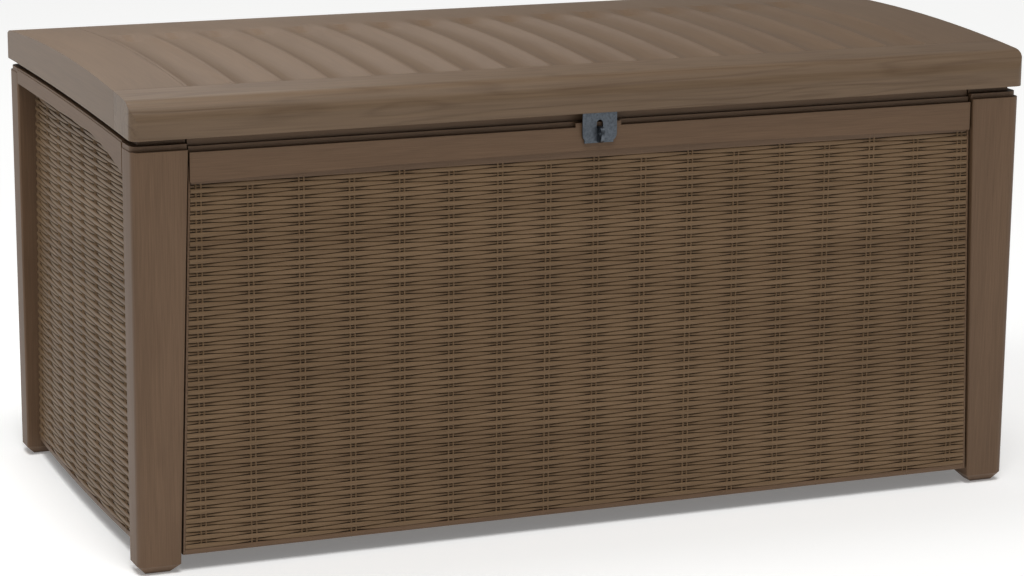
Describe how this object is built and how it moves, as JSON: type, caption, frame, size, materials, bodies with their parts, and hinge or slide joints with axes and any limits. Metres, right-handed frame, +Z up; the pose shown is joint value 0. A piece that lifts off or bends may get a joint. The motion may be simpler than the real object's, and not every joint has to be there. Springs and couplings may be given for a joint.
{
  "type": "deck storage box",
  "caption": "Moulded resin deck box with tapered corner posts, rattan-look walls and an arched, fluted bench lid that lifts on rear hinges and gas struts, with a hasp and padlock staple.",
  "frame": {"origin": "on the ground, at the centre of the bounding box's bottom face", "axes": "+X along the length, to the right of someone facing the latch; -Y out of the front, the latch side; +Z up"},
  "size_m": [1.295, 0.7, 0.6418],
  "materials": {
    "body_resin": "satin, fine moulded wood grain",
    "weave_resin": "satin, moulded woven texture",
    "lid_resin": "satin, fine moulded wood grain",
    "zinc_steel": "zinc plated",
    "black_paint": "semi-gloss black",
    "rod_chrome": "polished"
  },
  "bodies": {
    "box": {"floor_panel": "body_resin", "front_panel": "weave_resin", "back_panel": "weave_resin", "front_rail": "body_resin", "back_rail": "body_resin", "lock_staple": "zinc_steel", "post_front_left": "body_resin", "post_rear_left": "body_resin", "side_panel_left": "weave_resin", "side_rail_left": "body_resin", "strut_lower_bracket_left": "zinc_steel", "post_front_right": "body_resin", "post_rear_right": "body_resin", "side_panel_right": "weave_resin", "side_rail_right": "body_resin", "strut_lower_bracket_right": "zinc_steel", "hinge_body_leaf_left": "zinc_steel", "hinge_body_screw_left_a": "zinc_steel", "hinge_body_screw_left_b": "zinc_steel", "hinge_body_leaf_centre": "zinc_steel", "hinge_body_screw_centre_a": "zinc_steel", "hinge_body_screw_centre_b": "zinc_steel", "hinge_body_leaf_right": "zinc_steel", "hinge_body_screw_right_a": "zinc_steel", "hinge_body_screw_right_b": "zinc_steel"},
    "lid": {"lid_top_panel": "lid_resin", "lid_front_beam": "lid_resin", "lid_end_board_left": "lid_resin", "lid_end_board_right": "lid_resin", "lid_brace_front": "zinc_steel", "lid_brace_rear": "zinc_steel", "lid_hasp": "zinc_steel", "hasp_screw_a": "zinc_steel", "hasp_screw_b": "zinc_steel", "strut_upper_bracket_left": "zinc_steel", "strut_upper_bracket_right": "zinc_steel", "hinge_lid_leaf_left": "zinc_steel", "hinge_lid_screw_left_a": "zinc_steel", "hinge_lid_screw_left_b": "zinc_steel", "hinge_pin_left": "zinc_steel", "hinge_lid_leaf_centre": "zinc_steel", "hinge_lid_screw_centre_a": "zinc_steel", "hinge_lid_screw_centre_b": "zinc_steel", "hinge_pin_centre": "zinc_steel", "hinge_lid_leaf_right": "zinc_steel", "hinge_lid_screw_right_a": "zinc_steel", "hinge_lid_screw_right_b": "zinc_steel", "hinge_pin_right": "zinc_steel"},
    "strut_cylinder_left": {"strut_cylinder_left": "black_paint"},
    "strut_rod_left": {"strut_rod_left": "rod_chrome"},
    "strut_cylinder_right": {"strut_cylinder_right": "black_paint"},
    "strut_rod_right": {"strut_rod_right": "rod_chrome"}
  },
  "joints": [
    {"name": "lid_hinge", "type": "hinge", "parent": "box", "child": "lid", "pos_m": [0, 0.344, 0.5806], "axis": [-1, 0, 0], "range_deg": [0, 80]},
    {"name": "strut_cylinder_left_pivot", "type": "hinge", "parent": "box", "child": "strut_cylinder_left", "pos_m": [-0.556, 0.259, 0.43338], "axis": [-1, 0, 0], "range_deg": [0, 40]},
    {"name": "strut_rod_left_pivot", "type": "hinge", "parent": "lid", "child": "strut_rod_left", "pos_m": [-0.556, 0.17658, 0.61012], "axis": [-1, 0, 0], "range_deg": [-40, 0]},
    {"name": "strut_cylinder_right_pivot", "type": "hinge", "parent": "box", "child": "strut_cylinder_right", "pos_m": [0.556, 0.259, 0.43338], "axis": [-1, 0, 0], "range_deg": [0, 40]},
    {"name": "strut_rod_right_pivot", "type": "hinge", "parent": "lid", "child": "strut_rod_right", "pos_m": [0.556, 0.17658, 0.61012], "axis": [-1, 0, 0], "range_deg": [-40, 0]}
  ],
  "couplings": [
    {"joint": "strut_cylinder_left_pivot", "follows": "lid_hinge", "ratio": 0.5},
    {"joint": "strut_rod_left_pivot", "follows": "lid_hinge", "ratio": -0.5},
    {"joint": "strut_cylinder_right_pivot", "follows": "lid_hinge", "ratio": 0.5},
    {"joint": "strut_rod_right_pivot", "follows": "lid_hinge", "ratio": -0.5}
  ]
}
